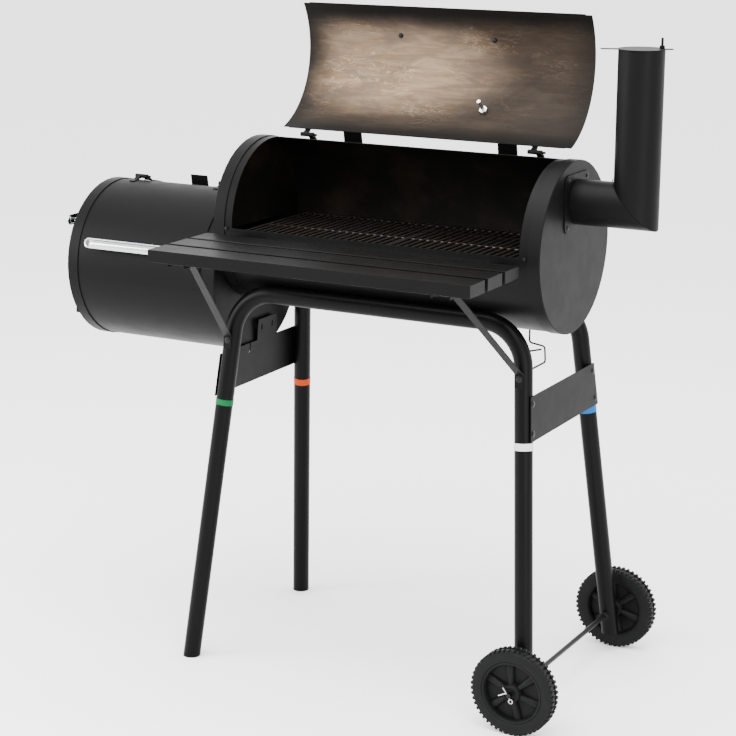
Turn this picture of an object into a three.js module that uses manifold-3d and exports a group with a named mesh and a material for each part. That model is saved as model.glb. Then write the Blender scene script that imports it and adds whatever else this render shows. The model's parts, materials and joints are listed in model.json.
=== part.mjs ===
// Offset smoker on a bent-tube trolley: barrel chamber with a hinged lid, lower side firebox,
// elbow chimney, front shelf and two wheels. Millimetres, +Z up, +X towards the chimney, -Y is the front.
import * as THREE from 'three';
import { mergeVertices } from 'three/addons/utils/BufferGeometryUtils.js';
import Module from 'manifold-3d';

const wasm = await Module();
wasm.setup();

// ---------------------------------------------------------------- driving dimensions
const AXIS_Z = 908;             // barrel axis above the ground
const BARREL_R = 170;           // outside radius of every end cap
const SHEET = 1.4;              // steel sheet of shells, caps and lids
const FIT = 0.4;                // gap between parts that touch
const CHAMBER_HALF = 360;       // half length of the cooking chamber over its caps
const FIREBOX_LENGTH = 368;
const FIREBOX_DROP = 118;       // firebox axis below the chamber axis
const CAP_DEPTH = 26;           // flange of an end cap
const END_RING = 43;            // shell left whole at each end, measured from the cap's face
const ROUND = 48;               // facets round a barrel
const ARC_STEPS = ROUND / 2;    // a full circle in an outline takes twice its curve segments
const SHELL_R = BARREL_R - SHEET - FIT;
const LID_R = 169;              // inside radius of a lid
const LID_LAP = 7.5;            // lid past each end of the opening
const LID_CORNER_R = 14;
const LID_OPEN = 150;           // degrees from closed to resting on the stops

// Angles round a barrel are in degrees, 0 at the back, 90 at the top, 180 at the front.
const CHAMBER_LID = { rear: 79.5, front: 183, openRear: 84, openFront: 179, hinge: 76.1 };
const FIREBOX_LID = { rear: 90.5, front: 185, openRear: 95, openFront: 181, hinge: 87.1 };
const LID_GRIP = 160.5;         // where the handle sits on each lid
const FIREBOX_GRIP = 161.4;
const HINGE_R = 177.5;          // hinge pin from the barrel axis
const PIN_R = 2.4;
const KNUCKLE_R = 4.6;
const HINGE_HALF = 17;
const HINGE_X = { chamber: 257, firebox: 106 };
const STOP_X = 175.5;

const PIPE_R = 44;
const PIPE_WALL = 1.2;
const CHIMNEY_X = 482;
const FLUE_Z = AXIS_Z + 90;     // axis of the horizontal flue
const CHIMNEY_TOP = AXIS_Z + 386;
const CAP_TURN = 25;            // direction of the rain cap's pivot, from +X towards the back
const PIVOT_R = 37.5;

const FRAME_X = -6;             // middle of the leg frame
const TUBE_R = 18;
const TUBE_WALL = 1.3;
const TUBE_SIDES = 12;
const BEND_R = 90;
const RUN_Y = 130;              // horizontal run of each bent frame
const RUN_Z = AXIS_Z - 133.9;
const LEG_HALF_TOP = 319;       // corner of the bent frame, from its middle
const SPLAY_X = 0.0834;         // sideways slope of a leg
const SPLAY_Y = 0.1284;         // front-to-back slope of a leg
const LEG_END_RIGHT = 41;       // wheel-side legs end this far above the ground
const FOOT_H = 3;

const WHEEL_R = 86.5;
const WHEEL_W = 35;
const WHEEL_Y = 262;
const AXLE_R = 5;
const AXLE_HALF = 291;

const SLAT_HALF = 343;
const SLAT_DEPTH = 62;
const SLAT_GAP = 12;
const SLAT_H = 24;
const SLAT_TOP = AXIS_Z - 2;
const SHELF_FRONT = -421;
const RAIL_X = 282;
const PLATE_TOP = AXIS_Z - 265;
const PLATE_BOTTOM = AXIS_Z - 353;
const ROD = 4;

// ---------------------------------------------------------------- materials
const paint = (color, roughness, metalness) => new THREE.MeshStandardMaterial({ color, roughness, metalness });
const blackPaint = () => paint(0x232426, 0.5, 0.3);
const sootedSteel = () => paint(0x2b2622, 0.75, 0.3);
const chrome = () => paint(0xd8dadc, 0.15, 1);
const zinc = () => paint(0x9a9c9e, 0.35, 0.9);
const plastic = () => paint(0x1c1d1e, 0.6, 0);

// ---------------------------------------------------------------- geometry helpers
const rad = THREE.MathUtils.degToRad;
const DEPTH_TO_X = new THREE.Matrix4().makeBasis(
  new THREE.Vector3(0, 1, 0), new THREE.Vector3(0, 0, 1), new THREE.Vector3(1, 0, 0));
const DEPTH_TO_Y = new THREE.Matrix4().makeBasis(
  new THREE.Vector3(0, 0, 1), new THREE.Vector3(1, 0, 0), new THREE.Vector3(0, 1, 0));

// Welded positions and triangles only, with the faces turned outwards.
function clean(geometry) {
  const bare = geometry.clone();
  bare.deleteAttribute('normal');
  bare.deleteAttribute('uv');
  const welded = mergeVertices(bare, 1e-3);
  const at = welded.attributes.position;
  const index = welded.index.array;
  const kept = [];
  let volume = 0;
  const [a, b, c] = [new THREE.Vector3(), new THREE.Vector3(), new THREE.Vector3()];
  for (let i = 0; i < index.length; i += 3) {
    const [i0, i1, i2] = [index[i], index[i + 1], index[i + 2]];
    if (i0 === i1 || i1 === i2 || i2 === i0) continue;
    a.fromBufferAttribute(at, i0);
    b.fromBufferAttribute(at, i1);
    c.fromBufferAttribute(at, i2);
    volume += a.dot(b.cross(c));
    kept.push([i0, i1, i2]);
  }
  const flat = kept.flatMap((t) => (volume < 0 ? [t[0], t[2], t[1]] : t));
  welded.setIndex(flat);
  return welded;
}

function solid(geometry) {
  const g = clean(geometry);
  const mesh = new wasm.Mesh({
    numProp: 3,
    vertProperties: new Float32Array(g.attributes.position.array),
    triVerts: new Uint32Array(g.index.array),
  });
  return new wasm.Manifold(mesh);
}

function fromSolid(body) {
  const mesh = body.getMesh();
  const g = new THREE.BufferGeometry();
  g.setAttribute('position', new THREE.BufferAttribute(new Float32Array(mesh.vertProperties), 3));
  g.setIndex(Array.from(mesh.triVerts));
  g.computeVertexNormals();
  return g;
}

const join = (...parts) => fromSolid(parts.map(solid).reduce((a, b) => a.add(b)));
const cut = (base, ...tools) => fromSolid(tools.map(solid).reduce((a, b) => a.subtract(b), solid(base)));
const common = (a, b) => fromSolid(solid(a).intersect(solid(b)));

function box(x0, x1, y0, y1, z0, z1) {
  const g = new THREE.BoxGeometry(x1 - x0, y1 - y0, z1 - z0);
  return g.translate((x0 + x1) / 2, (y0 + y1) / 2, (z0 + z1) / 2);
}

function cylinder(radius, from, to, sides = 16) {
  const start = new THREE.Vector3(...from);
  const along = new THREE.Vector3(...to).sub(start);
  const g = new THREE.CylinderGeometry(radius, radius, along.length(), sides);
  const turn = new THREE.Quaternion().setFromUnitVectors(new THREE.Vector3(0, 1, 0), along.clone().normalize());
  g.applyQuaternion(turn);
  return g.translate(...start.addScaledVector(along, 0.5).toArray());
}

const outline = (points) => new THREE.Shape(points.map(([u, v]) => new THREE.Vector2(u, v)));

// A flat outline in (y, z), thickened from x0 to x1.
function slabX(shape, x0, x1, curveSegments = 8) {
  const g = new THREE.ExtrudeGeometry(shape, { depth: x1 - x0, bevelEnabled: false, curveSegments });
  return g.applyMatrix4(DEPTH_TO_X).translate(x0, 0, 0);
}

// A flat outline in (x, y), thickened from z0 to z1.
function slabZ(shape, z0, z1, curveSegments = 8) {
  const g = new THREE.ExtrudeGeometry(shape, { depth: z1 - z0, bevelEnabled: false, curveSegments });
  return g.translate(0, 0, z0);
}

// Part of a ring in (y, z) round the origin, thickened from x0 to x1.
function arcSheet(r0, r1, from, to, x0, x1, facets) {
  const shape = new THREE.Shape();
  shape.absarc(0, 0, r1, rad(from), rad(to), false);
  shape.absarc(0, 0, r0, rad(to), rad(from), true);
  return slabX(shape, x0, x1, facets);
}

function ringSheet(r0, r1, x0, x1, facets) {
  const shape = new THREE.Shape();
  shape.absarc(0, 0, r1, 0, Math.PI * 2, false);
  const hole = new THREE.Path();
  hole.absarc(0, 0, r0, 0, Math.PI * 2, true);
  shape.holes.push(hole);
  return slabX(shape, x0, x1, facets);
}

// A profile of [radius, height] points turned round the Y axis.
function turned(profile, facets) {
  const points = profile.map(([r, h]) => new THREE.Vector2(r, h));
  return new THREE.LatheGeometry(points, facets);
}

function roundedRect(width, height, r) {
  const [w, h] = [width / 2, height / 2];
  const shape = new THREE.Shape();
  shape.moveTo(-w + r, -h);
  shape.absarc(w - r, -h + r, r, -Math.PI / 2, 0, false);
  shape.absarc(w - r, h - r, r, 0, Math.PI / 2, false);
  shape.absarc(-w + r, h - r, r, Math.PI / 2, Math.PI, false);
  shape.absarc(-w + r, -h + r, r, Math.PI, Math.PI * 1.5, false);
  return shape;
}

// Straight runs joined by arcs: each station is a point with its tangent.
class BentPath extends THREE.Curve {
  constructor(corners, bendRadius, arcSteps) {
    super();
    this.stations = [];
    const v = corners.map((c) => new THREE.Vector3(...c));
    const dir = (i) => v[i + 1].clone().sub(v[i]).normalize();
    this.stations.push([v[0], dir(0)]);
    for (let i = 1; i < v.length - 1; i++) {
      const [d0, d1] = [dir(i - 1), dir(i)];
      const turn = d0.angleTo(d1);
      const back = bendRadius * Math.tan(turn / 2);
      const start = v[i].clone().addScaledVector(d0, -back);
      const inward = d1.clone().addScaledVector(d0, -d0.dot(d1)).normalize();
      for (let k = 0; k <= arcSteps; k++) {
        const t = (turn * k) / arcSteps;
        const p = start.clone().addScaledVector(d0, bendRadius * Math.sin(t));
        p.addScaledVector(inward, bendRadius * (1 - Math.cos(t)));
        const tangent = d0.clone().multiplyScalar(Math.cos(t)).addScaledVector(inward, Math.sin(t));
        this.stations.push([p, tangent]);
      }
    }
    this.stations.push([v[v.length - 1], dir(v.length - 2)]);
  }

  get steps() {
    return this.stations.length - 1;
  }

  getPointAt(u, target = new THREE.Vector3()) {
    return target.copy(this.stations[Math.round(u * this.steps)][0]);
  }

  getTangentAt(u, target = new THREE.Vector3()) {
    return target.copy(this.stations[Math.round(u * this.steps)][1]);
  }
}

function circleShape(radius, sides, inner = 0) {
  const ring = (r) => Array.from({ length: sides }, (_, i) => {
    const t = (2 * Math.PI * i) / sides;
    return new THREE.Vector2(r * Math.cos(t), r * Math.sin(t));
  });
  const shape = new THREE.Shape(ring(radius));
  if (inner > 0) shape.holes.push(new THREE.Path(ring(inner).reverse()));
  return shape;
}

function bentBar(corners, bendRadius, section, arcSteps = 4) {
  const path = new BentPath(corners, bendRadius, arcSteps);
  return new THREE.ExtrudeGeometry(section, { steps: path.steps, bevelEnabled: false, extrudePath: path });
}

const group = new THREE.Group();
const chamber = new THREE.Group();
const firebox = new THREE.Group();
chamber.position.set(0, 0, AXIS_Z);
firebox.position.set(0, 0, AXIS_Z - FIREBOX_DROP);
group.add(chamber, firebox);

function part(name, geometry, material, parent = group) {
  const mesh = new THREE.Mesh(clean(geometry), material);
  mesh.name = name;
  parent.add(mesh);
  return mesh;
}

// ---------------------------------------------------------------- barrels
const FIREBOX_RIGHT = -CHAMBER_HALF - FIT;
const FIREBOX_LEFT = -CHAMBER_HALF - FIREBOX_LENGTH;
const FIREBOX_MID = (FIREBOX_RIGHT + FIREBOX_LEFT) / 2;

// Shell between two caps, with the opening that its lid covers.
function barrelShell(x0, x1, lid) {
  const inset = SHEET + FIT;
  const tube = ringSheet(SHELL_R - SHEET, SHELL_R, x0 + inset, x1 - inset, ARC_STEPS);
  const opening = arcSheet(SHELL_R - 20, SHELL_R + 20, lid.openRear, lid.openFront, x0 + END_RING, x1 - END_RING, 8);
  return cut(tube, opening);
}

// Pressed end cap: a disc at x with its flange turned towards `side` (+1 or -1).
function endCap(x, side) {
  const edge = 1.5;
  const profile = [
    [0, 0], [BARREL_R - edge, 0], [BARREL_R, edge], [BARREL_R, CAP_DEPTH],
    [BARREL_R - SHEET, CAP_DEPTH], [BARREL_R - SHEET, SHEET], [0, SHEET],
  ];
  const g = turned(profile, ROUND);
  g.rotateZ(side > 0 ? -Math.PI / 2 : Math.PI / 2);
  return g.translate(x, 0, 0);
}

const PASS = { halfWidth: 110, low: -112, high: -12 };     // window between firebox and chamber
const passTool = (z) => box(-370, -350, -PASS.halfWidth, PASS.halfWidth, PASS.low + z, PASS.high + z);
const flueHole = cylinder(PIPE_R - 3, [350, 0, FLUE_Z - AXIS_Z], [370, 0, FLUE_Z - AXIS_Z], 24);

part('chamber_shell', barrelShell(-CHAMBER_HALF, CHAMBER_HALF, CHAMBER_LID), blackPaint(), chamber);
part('chamber_left_cap', cut(endCap(-CHAMBER_HALF, 1), passTool(0)), blackPaint(), chamber);
part('chamber_right_cap', cut(endCap(CHAMBER_HALF, -1), flueHole), blackPaint(), chamber);
part('firebox_shell', barrelShell(FIREBOX_LEFT, FIREBOX_RIGHT, FIREBOX_LID), blackPaint(), firebox);
part('firebox_right_cap', cut(endCap(FIREBOX_RIGHT, -1), passTool(FIREBOX_DROP)), blackPaint(), firebox);

// ---------------------------------------------------------------- lids, handles and hinges
const onBarrel = (r, angle) => [r * Math.cos(rad(angle)), r * Math.sin(rad(angle))];

// Rolled lid in its closed place, with rounded corners.
function lidSheet(x0, x1, lid) {
  const sheet = arcSheet(LID_R, LID_R + SHEET, lid.rear, lid.front, x0, x1, 14);
  const r = LID_CORNER_R;
  const tools = [];
  for (const [x, sx] of [[x0, 1], [x1, -1]]) {
    for (const [angle, sa] of [[lid.rear, 1], [lid.front, -1]]) {
      const shape = new THREE.Shape();
      shape.moveTo(-sx * 2, -sa * 2);
      shape.lineTo(sx * r, -sa * 2);
      shape.lineTo(sx * r, 0);
      shape.absarc(sx * r, sa * r, r, -sa * Math.PI / 2, sx > 0 ? Math.PI : 0, sx * sa > 0);
      shape.lineTo(-sx * 2, sa * r);
      const g = slabZ(shape, LID_R - 8, LID_R + 10, 4);
      // local y runs forward round the barrel, local z points away from its axis
      g.applyMatrix4(new THREE.Matrix4().makeRotationX(rad(angle - 90)));
      tools.push(g.translate(x, 0, 0));
    }
  }
  return cut(sheet, ...tools);
}

// Pull handle: a long rounded bar held off the sheet by two posts, drawn along x and away from +Z.
const GRIP = { length: 258, width: 22, screw: 106.5, under: 20, top: 26, post: 4.5 };
function pullHandle(length, top) {
  const [along, out] = [length / GRIP.length, top / GRIP.top];
  const bar = slabZ(roundedRect(length, GRIP.width, GRIP.width / 2 - 0.1), GRIP.under * out, top, 6);
  const posts = [-1, 1].map((side) => {
    const x = side * GRIP.screw * along;
    return cylinder(GRIP.post, [x, 0, 0], [x, 0, GRIP.under * out + 1], 12);
  });
  return join(bar, ...posts);
}

// Both halves of a hinge, drawn with the pin straight above the barrel axis.
function fixedLeaf(x) {
  const strap = arcSheet(SHELL_R + FIT, SHELL_R + FIT + 1.6, 68, 85.5, x - 8, x + HINGE_HALF, 4);
  const neck = slabX(outline([[12.6, 168.5], [18, 167.6], [18, 169.4], [3, 180], [-1, 176]]), x - 4, x + 10);
  const knuckle = cylinder(KNUCKLE_R, [x - 4, 0, HINGE_R], [x + 10, 0, HINGE_R], 12);
  const pin = cylinder(PIN_R, [x - HINGE_HALF - 1, 0, HINGE_R], [x + HINGE_HALF, 0, HINGE_R], 12);
  const head = cylinder(KNUCKLE_R, [x - HINGE_HALF - 3, 0, HINGE_R], [x - HINGE_HALF - 1, 0, HINGE_R], 12);
  return join(strap, neck, knuckle, pin, head);
}

function movingLeaf(x) {
  const r = LID_R + SHEET + FIT;
  const [x0, x1] = [x - HINGE_HALF, x - 4 - FIT];
  const strap = arcSheet(r, r + 1.6, 94, 100, x0, x1, 2);
  const neck = slabX(outline([[-17, 170.4], [-13, 171], [1, 174], [-3, 180], [-17, 171.9]]), x0 + 2, x1);
  const knuckle = cylinder(KNUCKLE_R, [x0, 0, HINGE_R], [x1, 0, HINGE_R], 12);
  const bore = cylinder(PIN_R + 0.35, [x - 30, 0, HINGE_R], [x + 30, 0, HINGE_R], 12);
  return cut(join(strap, neck, knuckle), bore);
}

// Bent tab that the open lid leans on: its foot follows the shell and its post is a slanted strip in (y, z).
function lidStop(x, halfWidth, footFrom, footTo, post) {
  const foot = arcSheet(SHELL_R + FIT, SHELL_R + FIT + 2, footFrom, footTo, x - halfWidth, x + halfWidth, 3);
  return join(foot, slabX(outline(post), x - halfWidth, x + halfWidth));
}
const CHAMBER_POST = [[83, 147.6], [86.5, 146.5], [77.4, 193], [75.4, 193]];
const FIREBOX_POST = [[67.2, 155.6], [70.2, 154.4], [64.7, 181], [62.7, 181]];

// A group whose origin is the hinge pin; its children are drawn closed, round the barrel axis.
function hingedGroup(parent, lid, openBy) {
  const pivot = new THREE.Group();
  const [y, z] = onBarrel(HINGE_R, lid.hinge);
  pivot.position.set(0, y, z);
  pivot.rotation.x = -rad(openBy);
  const contents = new THREE.Group();
  contents.position.set(0, -y, -z);
  pivot.add(contents);
  parent.add(pivot);
  return contents;
}

const turnTo = (mesh, angle) => mesh.rotation.set(rad(angle - 90), 0, 0);
const THERMO = { x: 103, angle: 110, r: 26, depth: 13, stem: 4 };
const stemHole = cylinder(THERMO.stem + FIT, [THERMO.x, 0, 150], [THERMO.x, 0, 190]);
stemHole.rotateX(rad(THERMO.angle - 90));

const lid = hingedGroup(chamber, CHAMBER_LID, LID_OPEN);
const lidEnd = CHAMBER_HALF - END_RING + LID_LAP;
part('lid', cut(lidSheet(-lidEnd, lidEnd, CHAMBER_LID), stemHole), blackPaint(), lid);
const fireboxLid = hingedGroup(firebox, FIREBOX_LID, 0);
const fireboxLidHalf = (FIREBOX_RIGHT - FIREBOX_LEFT) / 2 - END_RING + LID_LAP;
part('firebox_lid', lidSheet(FIREBOX_MID - fireboxLidHalf, FIREBOX_MID + fireboxLidHalf, FIREBOX_LID),
  blackPaint(), fireboxLid);

for (const [name, parent, x, angle] of [
  ['lid_handle', lid, 0, LID_GRIP], ['firebox_lid_handle', fireboxLid, FIREBOX_MID, FIREBOX_GRIP]]) {
  const grip = pullHandle(GRIP.length, GRIP.top).translate(x, 0, LID_R + SHEET + FIT);
  const handle = part(name, grip, chrome(), parent);
  turnTo(handle, angle);
}

for (const [prefix, parent, moving, spec, xs] of [
  ['chamber', chamber, lid, CHAMBER_LID, [-HINGE_X.chamber, HINGE_X.chamber]],
  ['firebox', firebox, fireboxLid, FIREBOX_LID, [FIREBOX_MID - HINGE_X.firebox, FIREBOX_MID + HINGE_X.firebox]]]) {
  xs.forEach((x, i) => {
    const side = ['left', 'right'][i];
    turnTo(part(`${prefix}_hinge_fixed_${side}`, fixedLeaf(x), blackPaint(), parent), spec.hinge);
    turnTo(part(`${prefix}_hinge_moving_${side}`, movingLeaf(x), blackPaint(), moving), spec.hinge);
  });
}

part('lid_stop_left', lidStop(-STOP_X, 21, 50, 61, CHAMBER_POST), blackPaint(), chamber);
part('lid_stop_right', lidStop(STOP_X, 21, 50, 61, CHAMBER_POST), blackPaint(), chamber);
part('firebox_lid_stop', lidStop(FIREBOX_MID, 21, 56, 67, FIREBOX_POST), blackPaint(), firebox);

// Thermometer: bezel cup with a dial floor, needle on the stem's end, stem and nut through the lid.
const thermoBase = LID_R + SHEET + 3;
const cup = turned([[0, 0], [THERMO.r, 0], [THERMO.r, THERMO.depth], [THERMO.r - 3, THERMO.depth],
  [THERMO.r - 3, 5], [0, 5]], 24);
cup.rotateX(Math.PI / 2).translate(THERMO.x, 0, thermoBase);
turnTo(part('thermometer_case', cup, chrome(), lid), THERMO.angle);
const stemParts = join(
  cylinder(THERMO.stem, [THERMO.x, 0, LID_R - 36], [THERMO.x, 0, thermoBase - FIT]),
  cylinder(8.5, [THERMO.x, 0, LID_R - 8], [THERMO.x, 0, LID_R - 1.5], 6));
turnTo(part('thermometer_stem', stemParts, zinc(), lid), THERMO.angle);
const needle = join(
  box(THERMO.x - 1, THERMO.x + 1, -5, 17, thermoBase + 7.5, thermoBase + 8.5),
  cylinder(2.6, [THERMO.x, 0, thermoBase + 5 + FIT], [THERMO.x, 0, thermoBase + 9], 10));
turnTo(part('thermometer_needle', needle, paint(0xb02018, 0.5, 0.1), lid), THERMO.angle);

// ---------------------------------------------------------------- firebox door and air damper
// The door drops outwards about a rod along its bottom edge. Heights are from the firebox axis.
const DOOR = { halfY: 125, low: -95, high: 113, thick: 2, pinZ: -101, knuckleY: 80 };
const DOOR_X = FIREBOX_LEFT - FIT - DOOR.thick;
const DOOR_MID = (DOOR.low + DOOR.high) / 2;
const DOOR_HALF = (DOOR.high - DOOR.low) / 2;
const PIN_X = DOOR_X - 3;
const VENT = { z: -12, r: 36, pitchR: 20, holeR: 9, knobR: 5 };
const doorHole = slabX(roundedRect(2 * (DOOR.halfY - 12), 2 * (DOOR_HALF - 12), 16),
  FIREBOX_LEFT - 10, FIREBOX_LEFT + 10, 4).translate(0, 0, DOOR_MID);
part('firebox_left_cap', cut(endCap(FIREBOX_LEFT, 1), doorHole), blackPaint(), firebox);

// Three round holes on a circle, for the door and the damper over it.
const ventHoles = (x0, x1) => [90, 210, 330].map((a) => {
  const [y, z] = [VENT.pitchR * Math.cos(rad(a)), VENT.z + VENT.pitchR * Math.sin(rad(a))];
  return cylinder(VENT.holeR, [x0, y, z], [x1, y, z], 16);
});
const doorSheet = slabX(roundedRect(2 * DOOR.halfY, 2 * DOOR_HALF, 14), DOOR_X, DOOR_X + DOOR.thick, 4);
doorSheet.translate(0, 0, DOOR_MID);
const knuckleParts = [-DOOR.knuckleY, DOOR.knuckleY].flatMap((y) => [
  cylinder(5, [PIN_X, y - 15, DOOR.pinZ], [PIN_X, y + 15, DOOR.pinZ], 12),
  box(DOOR_X - 1, DOOR_X + 1, y - 14, y + 14, DOOR.pinZ, DOOR.low + 4)]);
const doorBore = cylinder(PIN_R + FIT, [PIN_X, -140, DOOR.pinZ], [PIN_X, 140, DOOR.pinZ], 12);
const ventPin = cylinder(2.5, [DOOR_X - 10, 0, VENT.z], [DOOR_X + 1, 0, VENT.z], 12);
const drilledDoor = cut(join(doorSheet, ...knuckleParts), doorBore, ...ventHoles(DOOR_X - 9, DOOR_X + 9));
part('firebox_door', join(drilledDoor, ventPin), blackPaint(), firebox);

const doorRod = cylinder(PIN_R, [PIN_X, -130, DOOR.pinZ], [PIN_X, 130, DOOR.pinZ], 12);
const doorEars = [-1, 1].map((s) => (
  box(PIN_X - 5, FIREBOX_LEFT - FIT, s * 127.5 - 1.5, s * 127.5 + 1.5, DOOR.pinZ - 5, DOOR.pinZ + 5)));
part('firebox_door_hinge', join(doorRod, ...doorEars), blackPaint(), firebox);

const DOOR_GRIP = { length: 236, rise: 38, z: 90 };
const doorHandle = pullHandle(DOOR_GRIP.length, DOOR_GRIP.rise);
doorHandle.applyMatrix4(new THREE.Matrix4().makeBasis(
  new THREE.Vector3(0, 1, 0), new THREE.Vector3(0, 0, -1), new THREE.Vector3(-1, 0, 0)));
part('firebox_door_handle', doorHandle.translate(DOOR_X - FIT, 0, DOOR_GRIP.z), chrome(), firebox);

const damperX = DOOR_X - FIT;
const damperDisc = join(
  cylinder(VENT.r, [damperX - 1.5, 0, VENT.z], [damperX, 0, VENT.z], 30),
  cylinder(VENT.knobR, [damperX - 14, 0, VENT.z - 27], [damperX - 1, 0, VENT.z - 27], 12),
  cylinder(6, [damperX - 5, 0, VENT.z], [damperX - 1, 0, VENT.z], 12));
const damperBore = cylinder(2.5 + FIT, [damperX - 9, 0, VENT.z], [damperX + 9, 0, VENT.z], 12);
part('air_damper', cut(damperDisc, damperBore, ...ventHoles(damperX - 9, damperX + 9)), zinc(), firebox);

// ---------------------------------------------------------------- chimney
const flangeShape = roundedRect(120, 112, 16);
const flangeHole = new THREE.Path();
flangeHole.absarc(0, 0, PIPE_R - 3, 0, Math.PI * 2, true);
flangeShape.holes.push(flangeHole);
const FLANGE_X = CHAMBER_HALF + FIT;
part('chimney_flange', slabX(flangeShape, FLANGE_X, FLANGE_X + 2, 6).translate(0, 0, FLUE_Z), blackPaint());

const PIPE_FACETS = 15;
const flue = ringSheet(PIPE_R - PIPE_WALL, PIPE_R, FLANGE_X + 2 + FIT, CHIMNEY_X + 90, PIPE_FACETS);
flue.translate(0, 0, FLUE_Z);
const stack = ringSheet(PIPE_R - PIPE_WALL, PIPE_R, FLUE_Z - 90, CHIMNEY_TOP, PIPE_FACETS);
stack.applyMatrix4(new THREE.Matrix4().makeBasis(
  new THREE.Vector3(0, 0, 1), new THREE.Vector3(0, 1, 0), new THREE.Vector3(-1, 0, 0)));
stack.translate(CHIMNEY_X, 0, 0);
// One side of the 45 degree mitre between flue and stack.
function mitreTool(side) {
  const g = box(-200, 200, -100, 100, 0, 300);
  g.rotateY(side > 0 ? rad(45) : rad(45) + Math.PI);
  const away = (side * FIT) / 2 / Math.SQRT2;
  return g.translate(CHIMNEY_X - away, 0, FLUE_Z - away);
}
part('chimney_flue', cut(flue, mitreTool(1)), blackPaint());
part('chimney_stack', cut(stack, mitreTool(-1)), blackPaint());

const rainCap = new THREE.Group();
rainCap.position.set(CHIMNEY_X, 0, CHIMNEY_TOP + FIT);
rainCap.rotation.z = rad(CAP_TURN);
group.add(rainCap);
const capPlate = join(
  cylinder(45.5, [0, 0, 0], [0, 0, 1.5], 32),
  slabZ(roundedRect(70, 15, 6), 0, 1.5, 3).translate(-42, 0, 0),
  slabZ(roundedRect(30, 18, 8), 0, 1.5, 3).translate(44, 0, 0));
part('chimney_cap', cut(capPlate, cylinder(2.9, [PIVOT_R, 0, -5], [PIVOT_R, 0, 5], 12)), blackPaint(), rainCap);
const capPivot = join(
  cylinder(2.5, [PIVOT_R, 0, -14], [PIVOT_R, 0, 22], 12),
  cylinder(5.5, [PIVOT_R, 0, 1.5 + FIT], [PIVOT_R, 0, 7.5], 6),
  box(PIVOT_R - 5, PIVOT_R + 4.4, -4, 4, -6, -4));
part('chimney_cap_pivot', capPivot, blackPaint(), rainCap);

// ---------------------------------------------------------------- leg frames
// Centre line of a leg at height z; sx and sy pick the leg.
const legX = (sx, z) => FRAME_X + sx * (LEG_HALF_TOP + (RUN_Z - z) * SPLAY_X);
const legY = (sy, z) => sy * (RUN_Y + (RUN_Z - z) * SPLAY_Y);
const legPoint = (sx, sy, z) => [legX(sx, z), legY(sy, z), z];
const below = (z) => box(-900, 900, -900, 900, z - 200, z);
const AXLE_X = legX(1, WHEEL_R);
const axleHole = cylinder(AXLE_R + FIT, [AXLE_X, -400, WHEEL_R], [AXLE_X, 400, WHEEL_R], 16);
const tubeSection = () => circleShape(TUBE_R, TUBE_SIDES, TUBE_R - TUBE_WALL);

for (const [front, sy] of [['front', -1], ['rear', 1]]) {
  for (const [side, sx] of [['left', -1], ['right', 1]]) {
    const end = sx > 0 ? LEG_END_RIGHT : FOOT_H + FIT;
    const seam = FRAME_X + (sx * FIT) / 2;
    const corners = [[seam, sy * RUN_Y, RUN_Z], legPoint(sx, sy, RUN_Z), legPoint(sx, sy, -30)];
    const tube = bentBar(corners, BEND_R, tubeSection(), 6);
    const tools = sx > 0 ? [below(end), axleHole] : [below(end)];
    part(`leg_${front}_${side}`, cut(tube, ...tools), blackPaint());
  }
  const sleeve = cylinder(TUBE_R - TUBE_WALL - 0.5, [FRAME_X - 40, sy * RUN_Y, RUN_Z],
    [FRAME_X + 40, sy * RUN_Y, RUN_Z], TUBE_SIDES);
  const sleeveBore = cylinder(TUBE_R - TUBE_WALL - 2, [FRAME_X - 60, sy * RUN_Y, RUN_Z],
    [FRAME_X + 60, sy * RUN_Y, RUN_Z], TUBE_SIDES);
  part(`frame_sleeve_${front}`, cut(sleeve, sleeveBore), zinc());
  const plug = (r, top) => common(
    cylinder(r, legPoint(-1, sy, 60), legPoint(-1, sy, -30), 16), box(-900, 900, -900, 900, 0, top));
  part(`foot_cap_${front}`, join(plug(TUBE_R, FOOT_H), plug(TUBE_R - TUBE_WALL - 1, 25)), plastic());
}

// Cross plates outside each pair of legs, leaning with them.
function crossPlate(sx, tab) {
  const [zt, zb] = [PLATE_TOP, PLATE_BOTTOM];
  const [yt, yb] = [legY(1, zt) + 10, legY(1, zb) + 10];
  const mid = (zt + zb) / 2;
  const points = [[-yb, zb - mid], [yb, zb - mid], [yt, zt - mid]];
  if (tab) points.push([70, zt - mid], [62, zt - mid + 45], [-12, zt - mid + 45], [-12, zt - mid]);
  if (tab) points.push([-38, zt - mid], [-38, zt - mid - 24], [-41, zt - mid - 24], [-41, zt - mid]);
  points.push([-yt, zt - mid]);
  const slots = [4, 46].map((y) => box(-5, 5, y - 2, y + 2, zt - mid + 20, zt - mid + 32));
  const sheet = slabX(outline(points), -1, 1);
  const g = tab ? cut(sheet, ...slots) : sheet;
  g.rotateY(-sx * Math.atan(SPLAY_X));
  return g.translate(legX(sx, mid) + sx * (TUBE_R + 1 + FIT), 0, mid);
}
part('cross_plate_left', crossPlate(-1, true), blackPaint());
part('cross_plate_right', crossPlate(1, false), blackPaint());

// ---------------------------------------------------------------- wheels and axle
part('axle', cylinder(AXLE_R, [AXLE_X, -AXLE_HALF, WHEEL_R], [AXLE_X, AXLE_HALF, WHEEL_R]), zinc());

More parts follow.
